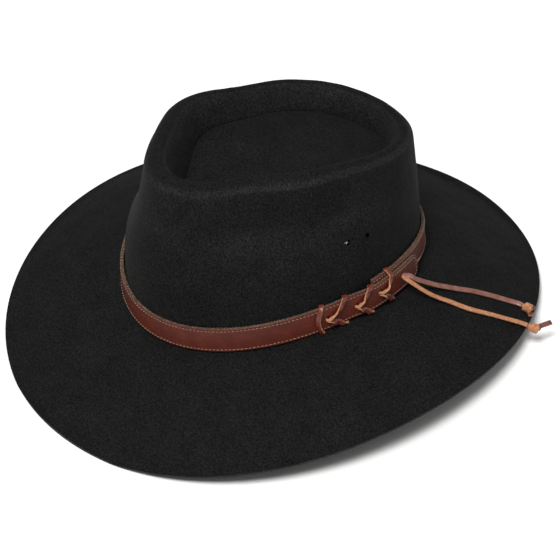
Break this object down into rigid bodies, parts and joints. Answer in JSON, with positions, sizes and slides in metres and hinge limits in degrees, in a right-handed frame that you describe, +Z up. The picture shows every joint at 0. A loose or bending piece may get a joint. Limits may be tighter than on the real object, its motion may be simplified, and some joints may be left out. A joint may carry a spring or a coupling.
{
  "type": "bush hat",
  "caption": "Wide-brimmed felt bush hat with a pinched, sunken crown, an overlapped leather band, a crossed lace and knotted thongs.",
  "frame": {"origin": "centre of the brim's box, on the floor that the hat rests on", "axes": "front is -Y, the wearer's left is +X, +Z is up"},
  "size_m": [0.3364, 0.3624, 0.143],
  "materials": {
    "felt": "brushed wool felt with a short nap",
    "band_leather": "smooth red-brown cowhide, stitched at both edges",
    "lace_leather": "cut leather lace, smooth face and raw tan flesh side"
  },
  "bodies": {
    "root": {"felt_body": "felt", "hat_band": "band_leather", "lace_keeper": "lace_leather", "lace_cross_1": "lace_leather", "lace_cross_2": "lace_leather", "lace_cross_3": "lace_leather", "thong_upper": "lace_leather", "thong_lower": "lace_leather", "knot_upper": "lace_leather", "knot_lower": "lace_leather"}
  },
  "joints": []
}
